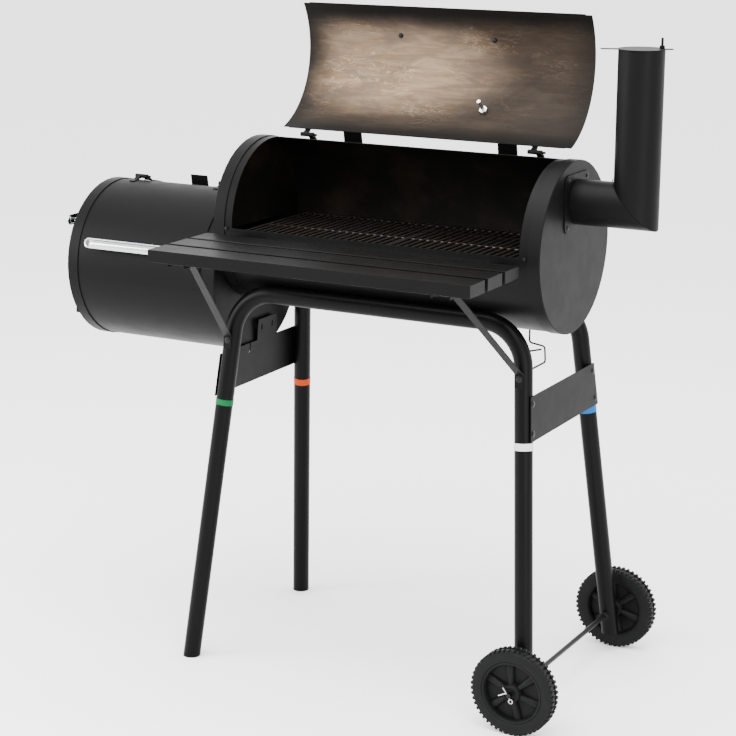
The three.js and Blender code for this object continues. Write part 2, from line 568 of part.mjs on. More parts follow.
// Moulded wheel on the Y axis: tyre ring, closed web, six spokes and hub.
function wheelGeometry() {
  const w = WHEEL_W / 2;
  const tyre = turned([
    [57, -w + 3], [WHEEL_R - 7, -w], [WHEEL_R, -w + 6], [WHEEL_R, w - 6], [WHEEL_R - 7, w], [57, w - 3],
    [57, -w + 3]], 36);
  const hub = turned([[AXLE_R + FIT, -w - 2], [17, -w - 2], [19, -w + 2], [19, w - 2], [17, w + 2],
    [AXLE_R + FIT, w + 2], [AXLE_R + FIT, -w - 2]], 24);
  const spoke = outline([[15, -5.5], [58, -9.5], [58, 9.5], [15, 5.5]]);
  const spokes = Array.from({ length: 6 }, (_, i) => {
    const g = slabZ(spoke, -9, 9);
    return g.rotateX(Math.PI / 2).rotateY((i * Math.PI) / 3);
  });
  const web = turned([[AXLE_R + FIT, -1.5], [60, -1.5], [60, 1.5], [AXLE_R + FIT, 1.5], [AXLE_R + FIT, -1.5]], 36);
  return join(tyre, hub, web, ...spokes);
}
for (const [name, sy] of [['front', -1], ['rear', 1]]) {
  part(`wheel_${name}`, wheelGeometry().translate(AXLE_X, sy * WHEEL_Y, WHEEL_R), plastic());
}

// ---------------------------------------------------------------- shelf
['front', 'middle', 'rear'].forEach((name, i) => {
  const y = SHELF_FRONT + i * (SLAT_DEPTH + SLAT_GAP);
  const [x0, x1] = [FRAME_X - SLAT_HALF, FRAME_X + SLAT_HALF];
  const hollow = box(x0 + SHEET, x1 - SHEET, y + SHEET, y + SLAT_DEPTH - SHEET, SLAT_TOP - 60, SLAT_TOP - SHEET);
  const slat = box(x0, x1, y, y + SLAT_DEPTH, SLAT_TOP - SLAT_H, SLAT_TOP);
  part(`shelf_slat_${name}`, cut(slat, hollow), blackPaint());
});

const railTop = SLAT_TOP - SLAT_H - FIT;
for (const [side, sx] of [['left', -1], ['right', 1]]) {
  const x = FRAME_X + sx * RAIL_X;
  const rail = join(
    box(x - 20, x + 20, SHELF_FRONT + 5, -168.8, railTop - 2, railTop),
    box(x - 20, x + 20, -170.4, -168.8, railTop - 18, AXIS_Z - 12),
    ...[-20, 18.4].map((dx) => box(x + dx, x + dx + 1.6, SHELF_FRONT + 5, -170, railTop - 7, railTop)));
  part(`shelf_rail_${side}`, rail, blackPaint());

  // brace: a strip with its width along x, from the rail down to the leg
  const footZ = AXIS_Z - 236;
  const legFront = (z) => legY(-1, z) - TUBE_R * 1.02 - 1.1 - FIT;
  const topZ = railTop - 2 - FIT - 1.2;
  const topY = -392;
  const xTop = FRAME_X + sx * (RAIL_X - 1);
  const xFoot = legX(sx, footZ);
  const brace = bentStrip([
    [xTop, topY, topZ], [xTop, topY + 26, topZ], [xFoot, legFront(footZ + 12), footZ + 12],
    [xFoot, legFront(footZ - 12), footZ - 12]], 8.5, 2.2);
  part(`shelf_brace_${side}`, brace, blackPaint());
}

// Flat strip through the given centre points, its width kept along x.
function bentStrip(points, halfWidth, thick) {
  const pieces = [];
  for (let i = 0; i < points.length - 1; i++) {
    const [a, b] = [points[i], points[i + 1]];
    const [dy, dz] = [b[1] - a[1], b[2] - a[2]];
    const n = Math.hypot(dy, dz);
    const [ny, nz] = [(-dz / n) * thick / 2, (dy / n) * thick / 2];
    const [ey, ez] = [(dy / n) * thick / 2, (dz / n) * thick / 2];
    const corners = [];
    for (const [p, s] of [[a, -1], [b, 1]]) {
      for (const sideX of [-1, 1]) {
        for (const t of [-1, 1]) {
          corners.push([p[0] + sideX * halfWidth, p[1] + t * ny + s * ey, p[2] + t * nz + s * ez]);
        }
      }
    }
    pieces.push(hexahedron(corners));
  }
  return join(...pieces);
}

// Six-sided block from its eight corners, indexed end, side, face.
function hexahedron(c) {
  const quads = [[0, 1, 3, 2], [4, 6, 7, 5], [0, 4, 5, 1], [2, 3, 7, 6], [0, 2, 6, 4], [1, 5, 7, 3]];
  const g = new THREE.BufferGeometry();
  g.setAttribute('position', new THREE.BufferAttribute(new Float32Array(c.flat()), 3));
  g.setIndex(quads.flatMap(([p, q, r, s]) => [p, q, r, p, r, s]));
  return g;
}

// ---------------------------------------------------------------- grates
// Square-rod grate in the plane z: rods along y, cross rods under them along x.
function grate(x0, x1, halfY, z, pitch, crossY) {
  const count = Math.floor((x1 - x0 - ROD) / pitch);
  const step = (x1 - x0 - ROD) / count;
  const pieces = [];
  for (let i = 0; i <= count; i++) {
    const x = x0 + i * step;
    pieces.push(box(x, x + ROD, -halfY, halfY, z - ROD / 2, z + ROD / 2));
  }
  for (const y of crossY) pieces.push(box(x0, x1, y - ROD / 2, y + ROD / 2, z - ROD - 0.6, z - 0.6));
  return join(...pieces);
}
const COOK_Z = -14;
part('cooking_grate_left', grate(-330, -1.5, 161, COOK_Z, 17, [-156, 156]), zinc(), chamber);
part('cooking_grate_right', grate(1.5, 330, 161, COOK_Z, 17, [-156, 156]), zinc(), chamber);
part('charcoal_grate', grate(-300, 300, 118, -112, 36, [-80, 80]), zinc(), chamber);
part('firebox_grate', grate(FIREBOX_LEFT + 35, FIREBOX_RIGHT - 35, 136, -86, 22, [-95, 95]), zinc(), firebox);
for (const [name, sy] of [['front', -1], ['rear', 1]]) {
  const top = COOK_Z - ROD - 0.6 - FIT;
  const ledge = box(-312, 312, 151, 163.4, top - 1.6, top);
  const lip = box(-312, 312, 161.8, 163.4, top - 12, top);
  const rail = join(ledge, lip);
  if (sy < 0) rail.rotateZ(Math.PI);
  part(`grate_rail_${name}`, rail, sootedSteel(), chamber);
}

// ---------------------------------------------------------------- grease can hook
const HOOK_X = 269;
const hookLine = [
  [HOOK_X, 0, -SHELL_R - FIT], [HOOK_X, 0, -199], [HOOK_X + 33, 0, -203.5], [HOOK_X + 35, 0, -235],
  [HOOK_X + 35, -80, -235], [HOOK_X + 35, -80, -196], [HOOK_X + 31, -14, -207]];
part('grease_can_hook', bentBar(hookLine, 6, circleShape(ROD / 2, 8), 3), blackPaint(), chamber);

// ---------------------------------------------------------------- origin at the middle of the footprint
group.updateMatrixWorld(true);
const bounds = new THREE.Box3().setFromObject(group, true);
const middle = bounds.getCenter(new THREE.Vector3());
group.position.set(-middle.x, -middle.y, -bounds.min.z);
group.updateMatrixWorld(true);

export default group;
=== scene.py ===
# Offset smoker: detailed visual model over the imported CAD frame. Metres, +Z up, -Y front.
import json
import math

import bpy
from mathutils import Matrix, Vector


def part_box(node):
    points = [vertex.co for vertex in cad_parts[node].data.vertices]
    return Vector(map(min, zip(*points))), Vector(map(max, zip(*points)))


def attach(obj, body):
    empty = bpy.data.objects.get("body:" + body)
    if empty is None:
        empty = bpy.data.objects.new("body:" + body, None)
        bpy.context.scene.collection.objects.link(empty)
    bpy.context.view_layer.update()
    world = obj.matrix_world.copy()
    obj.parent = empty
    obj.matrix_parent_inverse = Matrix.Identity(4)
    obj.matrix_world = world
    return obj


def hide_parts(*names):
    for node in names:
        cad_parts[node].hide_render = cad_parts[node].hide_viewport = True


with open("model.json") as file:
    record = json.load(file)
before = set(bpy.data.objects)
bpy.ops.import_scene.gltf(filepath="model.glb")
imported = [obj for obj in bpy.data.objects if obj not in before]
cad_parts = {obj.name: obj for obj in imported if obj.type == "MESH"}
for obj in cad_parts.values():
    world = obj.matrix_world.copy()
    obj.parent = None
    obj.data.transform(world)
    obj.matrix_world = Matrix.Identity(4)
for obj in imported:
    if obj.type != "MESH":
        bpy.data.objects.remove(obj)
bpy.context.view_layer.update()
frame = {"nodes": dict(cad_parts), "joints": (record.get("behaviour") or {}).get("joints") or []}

MM = 0.001
PAINT_DARK = 0.0018
PAINT_BASE = (PAINT_DARK, PAINT_DARK, PAINT_DARK * 1.04)
PAINT_GLOSS = 0.062
LID_OPEN = 150                  # degrees the chamber lid stands open in the rest pose


def mid(node):
    lo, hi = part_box(node)
    return (lo + hi) / 2


# Middle of the cooking chamber's axis: every design position below is measured from it, in mm.
AXIS = mid("chamber_shell")


def at(x, y, z):
    return AXIS + Vector((x, y, z)) * MM


# ---------------------------------------------------------------- camera
CAMERA_FROM_AXIS = (1864.6, -3633.8, 740.3)
CAMERA_AZIMUTH = 28.32
CAMERA_PITCH = 14.10
CAMERA_ROLL = 0.31
CAMERA_LENS = 100.5

az = math.radians(CAMERA_AZIMUTH)
pitch = math.radians(CAMERA_PITCH)
roll = math.radians(CAMERA_ROLL)
look = Vector((-math.sin(az) * math.cos(pitch), math.cos(az) * math.cos(pitch), -math.sin(pitch)))
level = Vector((math.cos(az), math.sin(az), 0))
upright = level.cross(look)
right = level * math.cos(roll) + upright * math.sin(roll)
up = upright * math.cos(roll) - level * math.sin(roll)
camera_data = bpy.data.cameras.new("camera")
camera_data.lens = CAMERA_LENS
camera_data.sensor_width = 36
camera_data.clip_end = 50
camera = bpy.data.objects.new("camera", camera_data)
bpy.context.scene.collection.objects.link(camera)
turn = Matrix((right, up, -look)).transposed().to_4x4()
camera.matrix_world = Matrix.Translation(at(*CAMERA_FROM_AXIS)) @ turn
bpy.context.scene.camera = camera


# ---------------------------------------------------------------- material tools
class Graph:
    """A small helper round one material's node tree."""

    def __init__(self, name):
        self.material = bpy.data.materials.new(name)
        self.material.use_nodes = True
        self.tree = self.material.node_tree
        self.bsdf = self.tree.nodes["Principled BSDF"]

    def node(self, kind, **settings):
        made = self.tree.nodes.new(kind)
        for key, value in settings.items():
            setattr(made, key, value)
        return made

    def feed(self, value, socket):
        if isinstance(value, bpy.types.NodeSocket):
            self.tree.links.new(value, socket)
        else:
            socket.default_value = value

    def place(self):
        return self.node("ShaderNodeTexCoord").outputs["Object"]

    def mapped(self, scale, vector=None):
        made = self.node("ShaderNodeMapping")
        self.feed(vector or self.place(), made.inputs["Vector"])
        made.inputs["Scale"].default_value = scale
        return made.outputs["Vector"]

    def noise(self, scale, detail=4, rough=0.55, vector=None, distortion=0):
        made = self.node("ShaderNodeTexNoise")
        self.feed(vector or self.place(), made.inputs["Vector"])
        made.inputs["Scale"].default_value = scale
        made.inputs["Detail"].default_value = detail
        made.inputs["Roughness"].default_value = rough
        made.inputs["Distortion"].default_value = distortion
        return made.outputs["Fac"]

    def math(self, operation, a, b=0.0, c=0.0):
        made = self.node("ShaderNodeMath", operation=operation)
        for value, socket in zip((a, b, c), made.inputs):
            self.feed(value, socket)
        return made.outputs[0]

    def span(self, value, low, high, to_low=0.0, to_high=1.0):
        made = self.node("ShaderNodeMapRange", interpolation_type="SMOOTHSTEP")
        for v, name in ((value, "Value"), (low, "From Min"), (high, "From Max"),
                        (to_low, "To Min"), (to_high, "To Max")):
            self.feed(v, made.inputs[name])
        return made.outputs["Result"]

    def blend(self, factor, a, b):
        made = self.node("ShaderNodeMix", data_type="RGBA")
        self.feed(factor, made.inputs["Factor"])
        for value, socket in ((a, made.inputs[6]), (b, made.inputs[7])):
            self.feed((*value, 1) if isinstance(value, tuple) else value, socket)
        return made.outputs[2]

    def split(self, vector=None):
        made = self.node("ShaderNodeSeparateXYZ")
        self.feed(vector or self.place(), made.inputs[0])
        return made.outputs

    def bump(self, height, strength, distance):
        made = self.node("ShaderNodeBump")
        self.feed(height, made.inputs["Height"])
        made.inputs["Strength"].default_value = strength
        made.inputs["Distance"].default_value = distance
        return made.outputs["Normal"]

    def finish(self, color=None, rough=None, normal=None, metallic=0.0, specular=0.5, coat=0.0):
        if color is not None:
            self.feed((*color, 1) if isinstance(color, tuple) else color, self.bsdf.inputs["Base Color"])
        if rough is not None:
            self.feed(rough, self.bsdf.inputs["Roughness"])
        if normal is not None:
            self.feed(normal, self.bsdf.inputs["Normal"])
        self.bsdf.inputs["Metallic"].default_value = metallic
        self.bsdf.inputs["Specular IOR Level"].default_value = specular
        self.bsdf.inputs["Coat Weight"].default_value = coat
        return self.material


def shade(color, factor):
    return tuple(c * factor for c in color)


def paint_look(g, base, rough):
    """Sprayed satin paint: faint cloudiness, fine orange peel, slightly uneven gloss."""
    cloud = g.noise(7, 5, 0.6)
    fine = g.noise(420, 2, 0.5)
    color = g.blend(g.span(cloud, 0.3, 0.7), shade(base, 0.92), shade(base, 1.08))
    gloss = g.math("ADD", g.span(g.noise(24, 4, 0.6), 0.3, 0.7, rough - 0.02, rough + 0.03),
                   g.math("MULTIPLY", fine, 0.04))
    return color, gloss, g.bump(fine, 0.10, 0.0006)


def paint(name, base=PAINT_BASE, rough=0.42):
    g = Graph(name)
    color, gloss, normal = paint_look(g, base, rough)
    return g.finish(color, gloss, normal, specular=PAINT_GLOSS)


def radius_from(g, y, z):
    """Distance of the shaded point from the line along x through (y, z), in metres."""
    parts = g.split()
    dy = g.math("SUBTRACT", parts[1], y)
    dz = g.math("SUBTRACT", parts[2], z)
    return g.math("SQRT", g.math("ADD", g.math("MULTIPLY", dy, dy), g.math("MULTIPLY", dz, dz)))


def sooted_barrel(name, centre, inner):
    """Black paint outside, and soot with a brown bloom inside the given radius."""
    g = Graph(name)
    color, gloss, normal = paint_look(g, PAINT_BASE, 0.40)
    inside = g.math("LESS_THAN", radius_from(g, centre.y, centre.z), inner)
    bloom = g.noise(9, 6, 0.65)
    soot = g.blend(g.span(bloom, 0.42, 0.75), (0.0022, 0.0020, 0.0018), (0.0085, 0.0055, 0.0034))
    g.feed(g.blend(inside, color, soot), g.bsdf.inputs["Base Color"])
    mixed = g.math("ADD", g.math("MULTIPLY", inside, 0.32), gloss)
    return g.finish(None, mixed, normal, specular=PAINT_GLOSS)


def metal(name, base, rough, wear=0.06, grain=(60, 60, 60), bump=0.03):
    g = Graph(name)
    streak = g.noise(1, 4, 0.6, g.mapped(grain))
    color = g.blend(g.span(streak, 0.3, 0.7), shade(base, 0.9), base)
    gloss = g.span(g.noise(35, 3, 0.5), 0.3, 0.7, rough, rough + wear)
    return g.finish(color, gloss, g.bump(streak, bump, 0.0004), metallic=1.0)


def browned_steel(name, base, rough):
    g = Graph(name)
    stain = g.noise(22, 6, 0.7)
    color = g.blend(g.span(stain, 0.40, 0.66), base, (0.030, 0.019, 0.012))
    gloss = g.span(stain, 0.3, 0.7, rough, rough + 0.25)
    return g.finish(color, gloss, g.bump(g.noise(300, 3, 0.6), 0.15, 0.0005), metallic=0.85)


def plastic(name, base, rough):
    g = Graph(name)
    grain = g.noise(500, 2, 0.5)
    scuff = g.noise(30, 6, 0.7)
    color = g.blend(g.span(scuff, 0.45, 0.8), base, shade(base, 1.9))
    gloss = g.span(scuff, 0.3, 0.7, rough, rough + 0.12)
    return g.finish(color, gloss, g.bump(grain, 0.12, 0.0005), specular=PAINT_GLOSS * 1.3)


def sticker(name, base):
    g = Graph(name)
    cloud = g.noise(60, 3, 0.5)
    color = g.blend(g.span(cloud, 0.3, 0.7), shade(base, 0.9), base)
    return g.finish(color, g.span(cloud, 0.3, 0.7, 0.34, 0.44), g.bump(cloud, 0.05, 0.0004), specular=0.08)


# ---------------------------------------------------------------- mesh tools
def make(name, verts, faces, material, body="smoker", sharp=32, bevel=0.0):
    mesh = bpy.data.meshes.new(name)
    mesh.from_pydata([tuple(v) for v in verts], [], faces)
    mesh.validate()
    mesh.materials.append(material)
    for polygon in mesh.polygons:
        polygon.use_smooth = True
    mesh.set_sharp_from_angle(angle=math.radians(sharp))
    obj = bpy.data.objects.new(name, mesh)
    bpy.context.scene.collection.objects.link(obj)
    if bevel:
        add_bevel(obj, bevel)
    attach(obj, body)
    return obj


def add_bevel(obj, width, segments=2, angle=32):
    modifier = obj.modifiers.new("bevel", "BEVEL")
    modifier.width = width
    modifier.segments = segments
    modifier.limit_method = "ANGLE"
    modifier.angle_limit = math.radians(angle)
    return modifier


class Shape:
    """Vertices and faces gathered from several simple solids."""

    def __init__(self):
        self.verts = []
        self.faces = []

    def add(self, verts, faces):
        start = len(self.verts)
        self.verts.extend(Vector(v) for v in verts)
        self.faces.extend(tuple(start + i for i in f) for f in faces)
        return self

    def rings(self, rings, loop=False, caps=True):
        """Joins equal rings of points in order; each ring is closed."""
        n = len(rings[0])
        verts = [v for ring in rings for v in ring]
        faces = []
        last = len(rings) if loop else len(rings) - 1
        for i in range(last):
            a, b = i * n, ((i + 1) % len(rings)) * n
            for j in range(n):
                k = (j + 1) % n
                faces.append((a + j, a + k, b + k, b + j))
        if caps and not loop:
            faces.append(tuple(reversed(range(n))))
            faces.append(tuple(range((len(rings) - 1) * n, len(rings) * n)))
        return self.add(verts, faces)

    def lathe(self, centre, axis, profile, segments=48, closed=True):
        """Profile of (radius, height) turned about axis; closed joins its last point to its first."""
        axis = axis.normalized()
        u = axis.orthogonal().normalized()
        v = axis.cross(u)
        n = len(profile)
        verts = []
        for i in range(segments):
            t = 2 * math.pi * i / segments
            out = u * math.cos(t) + v * math.sin(t)
            verts.extend(centre + out * r + axis * h for r, h in profile)
        faces = []
        for i in range(segments):
            a, b = i * n, ((i + 1) % segments) * n
            for j in range(n if closed else n - 1):
                k = (j + 1) % n
                faces.append((a + j, b + j, b + k, a + k))
        return self.add(verts, faces)

    def solid(self, centre, axis, profile, segments=24):
        """A turned solid whose profile starts and ends on the axis."""
        axis = axis.normalized()
        u = axis.orthogonal().normalized()
        v = axis.cross(u)
        inner = profile[1:-1]
        n = len(inner)
        verts = [centre + axis * profile[0][1], centre + axis * profile[-1][1]]
        for i in range(segments):
            t = 2 * math.pi * i / segments
            out = u * math.cos(t) + v * math.sin(t)
            verts.extend(centre + out * r + axis * h for r, h in inner)
        faces = []
        for i in range(segments):
            a, b = 2 + i * n, 2 + ((i + 1) % segments) * n
            faces.append((0, b, a))
            faces.append((1, a + n - 1, b + n - 1))
            for j in range(n - 1):
                faces.append((a + j, b + j, b + j + 1, a + j + 1))
        return self.add(verts, faces)


def bent_path(corners, bend, steps=10):
    """Points along straight runs joined by arcs of the given radius."""
    points = [corners[0].copy()]
    for i in range(1, len(corners) - 1):
        into = (corners[i] - corners[i - 1]).normalized()
        out = (corners[i + 1] - corners[i]).normalized()
        angle = into.angle(out)
        start = corners[i] - into * bend * math.tan(angle / 2)
        inward = (out - into * into.dot(out)).normalized()
        for k in range(steps + 1):
            t = angle * k / steps
            points.append(start + into * bend * math.sin(t) + inward * bend * (1 - math.cos(t)))
    points.append(corners[-1].copy())
    return points


def tube_rings(points, radius, segments, first=None):
    """Rings of a round tube along points, with a frame carried along without twist."""
    rings = []
    side = None
    for i, p in enumerate(points):
        ahead = points[min(i + 1, len(points) - 1)] - points[max(i - 1, 0)]
        tangent = ahead.normalized()
        if side is None:
            side = first or tangent.orthogonal()
        side = (side - tangent * side.dot(tangent)).normalized()
        other = tangent.cross(side)
        rings.append([p + (side * math.cos(2 * math.pi * j / segments)
                           + other * math.sin(2 * math.pi * j / segments)) * radius
                      for j in range(segments)])
    return rings


# ---------------------------------------------------------------- smooth look for CAD nodes
def weld_group():
    """Geometry nodes: merge split corners, then shade smooth with sharp edges above 30 degrees."""
    tree = bpy.data.node_groups.new("weld_and_smooth", "GeometryNodeTree")
    tree.interface.new_socket("Geometry", in_out="INPUT", socket_type="NodeSocketGeometry")
    tree.interface.new_socket("Geometry", in_out="OUTPUT", socket_type="NodeSocketGeometry")
    enter = tree.nodes.new("NodeGroupInput")
    leave = tree.nodes.new("NodeGroupOutput")
    remove = tree.nodes.new("GeometryNodeRemoveAttribute")
    remove.inputs["Name"].default_value = "custom_normal"
    weld = tree.nodes.new("GeometryNodeMergeByDistance")
    weld.inputs["Distance"].default_value = 0.00001
    soft = tree.nodes.new("GeometryNodeSetShadeSmooth")
    soft.domain = "FACE"
    hard = tree.nodes.new("GeometryNodeSetShadeSmooth")
    hard.domain = "EDGE"
    hard.inputs["Shade Smooth"].default_value = False
    angle = tree.nodes.new("GeometryNodeInputMeshEdgeAngle")
    wide = tree.nodes.new("FunctionNodeCompare")
    wide.data_type = "FLOAT"
    wide.operation = "GREATER_THAN"
    wide.inputs[1].default_value = math.radians(30)
    tree.links.new(angle.outputs["Unsigned Angle"], wide.inputs[0])
    tree.links.new(wide.outputs[0], hard.inputs["Selection"])
    chain = [enter, remove, weld, soft, hard, leave]
    for a, b in zip(chain, chain[1:]):
        source = a.outputs["Mesh"] if "Mesh" in a.outputs else a.outputs["Geometry"]
        target = b.inputs["Mesh"] if "Mesh" in b.inputs else b.inputs["Geometry"]
        tree.links.new(source, target)
    return tree


WELD = weld_group()


def dress(node, material, bevel=0.0):
    """Better material, smooth shading and an eased edge on a CAD node, by modifiers only."""
    obj = frame["nodes"][node]
    for material_slot in obj.material_slots:
        material_slot.material = material
    weld = obj.modifiers.new("weld", "NODES")
    weld.node_group = WELD
    if bevel:
        flat = obj.modifiers.new("flat", "DECIMATE")
        flat.decimate_type = "DISSOLVE"
        flat.angle_limit = math.radians(0.8)
        add_bevel(obj, bevel)
        again = obj.modifiers.new("smooth", "NODES")
        again.node_group = WELD
    return obj


# ---------------------------------------------------------------- materials
satin = paint("satin_black_paint")
frame_paint = paint("frame_black_paint", (0.0014, 0.0014, 0.0015), 0.34)
shelf_paint = paint("shelf_black_paint", (0.0022, 0.0021, 0.0021), 0.38)
dark_screw = metal("blackened_screw", (0.020, 0.020, 0.021), 0.38)
bright_screw = metal("bright_screw", (0.45, 0.45, 0.46), 0.22)
# Near-black metal for the plate in the handles' recess: painted shade and painted dark reflection.
recess_shade_look = metal("chrome_recess", (0.045, 0.046, 0.048), 0.22)
zinc_look = metal("zinc_plate", (0.55, 0.56, 0.57), 0.30)
chrome_look = metal("polished_chrome", (0.50, 0.51, 0.52), 0.12, 0.05, (8, 60, 60), 0.012)
wheel_look = plastic("wheel_plastic", (0.0030, 0.0031, 0.0032), 0.46)
foot_look = plastic("foot_plastic", (0.0030, 0.0030, 0.0032), 0.5)
grate_look = browned_steel("grate_steel", (0.055, 0.050, 0.046), 0.30)
fire_grate_look = browned_steel("fire_grate_steel", (0.035, 0.031, 0.028), 0.45)

CHAMBER_R = 168.2 * MM
FIREBOX_AXIS = mid("firebox_shell")
chamber_look = sooted_barrel("chamber_paint", AXIS, CHAMBER_R - 0.7 * MM)
firebox_look = sooted_barrel("firebox_paint", FIREBOX_AXIS, CHAMBER_R - 0.7 * MM)


def cap_material(name, centre, side):
    """End cap: satin paint outside, soot on the faces that look into the barrel."""
    g = Graph(name)
    color, gloss, normal = paint_look(g, (0.0022, 0.0022, 0.0023), 0.42)
    ball = g.node("ShaderNodeNewGeometry")
    facing = g.math("MULTIPLY", g.split(ball.outputs["Normal"])[0], side)
    inner = g.math("LESS_THAN", radius_from(g, centre.y, centre.z), 0.1684)
    inside = g.math("MULTIPLY", g.math("GREATER_THAN", facing, 0.5), inner)
    soot = g.blend(g.span(g.noise(8, 6, 0.65), 0.4, 0.75), (0.0022, 0.0020, 0.0018), (0.0095, 0.0060, 0.0040))
    g.feed(g.blend(inside, color, soot), g.bsdf.inputs["Base Color"])
    return g.finish(None, gloss, normal, specular=PAINT_GLOSS)


def lid_material():
    """Outside satin black; inside a tan smoke patina, brightest left of the middle, with fine veins."""
    g = Graph("lid_smoke_patina")
    color, gloss, normal = paint_look(g, PAINT_BASE, 0.40)
    lo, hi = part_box("lid")
    hinge = next(j for j in frame["joints"] if j["name"] == "lid_hinge")
    pivot = Vector(hinge["pos_m"])
    arm = Vector((AXIS.x, AXIS.y, AXIS.z)) - Vector((AXIS.x, pivot.y, pivot.z))
    centre = Vector((AXIS.x, pivot.y, pivot.z)) + Matrix.Rotation(-math.radians(LID_OPEN), 3, "X") @ arm
    inside = g.math("LESS_THAN", radius_from(g, centre.y, centre.z), 169.7 * MM)
    parts = g.split()
    warp = g.math("SUBTRACT", g.noise(5, 4, 0.6), 0.5)
    half = (hi.x - lo.x) / 2
    across = g.math("DIVIDE", g.math("SUBTRACT", parts[0], (lo.x + hi.x) / 2), half)
    angle = g.math("ARCTAN2", g.math("SUBTRACT", parts[2], centre.z), g.math("SUBTRACT", parts[1], centre.y))
    low, high = math.radians(-70.5), math.radians(33)
    along = g.math("DIVIDE", g.math("SUBTRACT", angle, (low + high) / 2), (high - low) / 2)
    from_left = g.math("ADD", across, g.math("MULTIPLY", warp, 0.36))
    from_foot = g.math("ADD", along, g.math("MULTIPLY", warp, 0.28))
    edges = g.math("MULTIPLY", g.span(from_left, -1.06, -0.76), g.span(from_left, 0.80, 1.03, 1.0, 0.40))
    ends = g.math("MULTIPLY", g.span(from_foot, 0.62, 0.92, 1.0, 0.0), g.span(from_foot, -0.96, -0.58))
    dx = g.math("ADD", from_left, 0.42)
    dy = g.math("DIVIDE", g.math("SUBTRACT", from_foot, 0.13), 0.80)
    apart = g.math("ADD", g.math("MULTIPLY", dx, dx), g.math("MULTIPLY", dy, dy))
    glow = g.span(apart, 0.02, 1.02, 1.0, 0.13)
    corner = g.span(g.math("SUBTRACT", from_left, from_foot), 0.50, 1.45, 1.0, 0.65)
    body = g.math("MULTIPLY", g.math("MULTIPLY", edges, ends), g.math("MULTIPLY", glow, corner))

    def veins(scale, distortion, low, high, strength):
        """Thin wandering contour lines that come and go."""
        field = g.noise(1, 5, 0.62, g.mapped(scale), distortion)
        line = g.span(g.math("ABSOLUTE", g.math("SUBTRACT", field, 0.52)), 0.0, 0.022, strength, 0.0)
        return g.math("MULTIPLY", line, g.span(g.noise(1, 3, 0.5, g.mapped((9, 20, 20))), low, high))

    streaks = g.noise(1, 8, 0.68, g.mapped((8, 52, 52)), 0.7)
    patches = g.noise(1, 5, 0.6, g.mapped((5, 11, 11)), 1.0)
    tan = g.blend(g.span(streaks, 0.36, 0.66), (0.105, 0.071, 0.044), (0.168, 0.120, 0.080))
    rust = g.blend(veins((12, 40, 40), 1.2, 0.42, 0.60, 0.75), tan, (0.165, 0.070, 0.022))
    pale = g.blend(veins((15, 50, 50), 1.4, 0.46, 0.62, 0.70), rust, (0.300, 0.235, 0.170))
    haze = g.blend(g.span(patches, 0.46, 0.66, 0.0, 0.60), pale, (0.066, 0.051, 0.041))
    smoke = g.blend(body, (0.0034, 0.0030, 0.0027), haze)
    g.feed(g.blend(inside, color, smoke), g.bsdf.inputs["Base Color"])
    rough = g.math("ADD", gloss, g.math("MULTIPLY", inside, 0.16))
    return g.finish(None, rough, normal, specular=PAINT_GLOSS)


dress("chamber_shell", chamber_look)
dress("firebox_shell", firebox_look)
dress("firebox_lid", satin)
dress("lid", lid_material())
for node, side in (("chamber_left_cap", 1), ("chamber_right_cap", -1)):
    dress(node, cap_material(node + "_paint", AXIS, side))
for node, side in (("firebox_left_cap", 1), ("firebox_right_cap", -1)):
    dress(node, cap_material(node + "_paint", FIREBOX_AXIS, side))

for node in frame["nodes"]:
    if "hinge" in node or "stop" in node or node.startswith(("cross_plate", "chimney_flange")):
        dress(node, satin, 0.4 * MM)
    elif node.startswith("shelf_slat"):
        dress(node, shelf_paint, 1.6 * MM)
    elif node.startswith(("shelf_rail", "shelf_brace")):
        dress(node, shelf_paint, 0.5 * MM)
for node in ("chimney_flue", "chimney_stack", "chimney_cap", "chimney_cap_pivot", "grease_can_hook"):
    dress(node, satin)
for node in ("grate_rail_front", "grate_rail_rear"):
    dress(node, fire_grate_look)
for node in ("frame_sleeve_front", "frame_sleeve_rear", "thermometer_stem"):
    dress(node, zinc_look)
dress("axle", metal("dark_axle", (0.018, 0.018, 0.019), 0.42))
dress("firebox_door", satin)
dress("air_damper", satin)
dress("thermometer_case", chrome_look, 0.6 * MM)
dress("thermometer_needle", sticker("needle_red", (0.55, 0.03, 0.02)))
for node in ("foot_cap_front", "foot_cap_rear"):
    dress(node, foot_look)
for node in ("charcoal_grate", "firebox_grate"):
    dress(node, fire_grate_look)

# ---------------------------------------------------------------- leg frames
TUBE_R = 18.0
TUBE_WALL = 1.3
BEND_R = 90
FRAME_X = -6
RUN_Y, RUN_Z = 130, -133.9
LEG_HALF = 319
SPLAY_X, SPLAY_Y = 0.0834, 0.1284


def leg_point(sx, sy, z):
    drop = RUN_Z - z
    return at(FRAME_X + sx * (LEG_HALF + drop * SPLAY_X), sy * (RUN_Y + drop * SPLAY_Y), z)


def leg_tube(node, sx, sy):
    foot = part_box(node)[0].z
    down = (leg_point(sx, sy, -600) - leg_point(sx, sy, -300)).normalized()
    top = leg_point(sx, sy, RUN_Z)
    end = top + down * ((foot - top.z) / down.z)
    points = bent_path([at(FRAME_X + sx * 0.2, sy * RUN_Y, RUN_Z), top, end], BEND_R * MM, 14)
    flat = Vector((0, 0, 1))
    outer = tube_rings(points, TUBE_R * MM, 40, flat)
    inner = tube_rings(points, (TUBE_R - TUBE_WALL) * MM, 40, flat)
    for ring in (outer[-1], inner[-1]):
        for i, p in enumerate(ring):
            ring[i] = p + down * ((foot - p.z) / down.z)
    shape = Shape()
    shape.rings(outer + inner[::-1], loop=True)
    obj = make(node + "_tube", shape.verts, shape.faces, frame_paint)
    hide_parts(node)
    return obj


for end, sy in (("front", -1), ("rear", 1)):
    for hand, sx in (("left", -1), ("right", 1)):
        leg_tube(f"leg_{end}_{hand}", sx, sy)


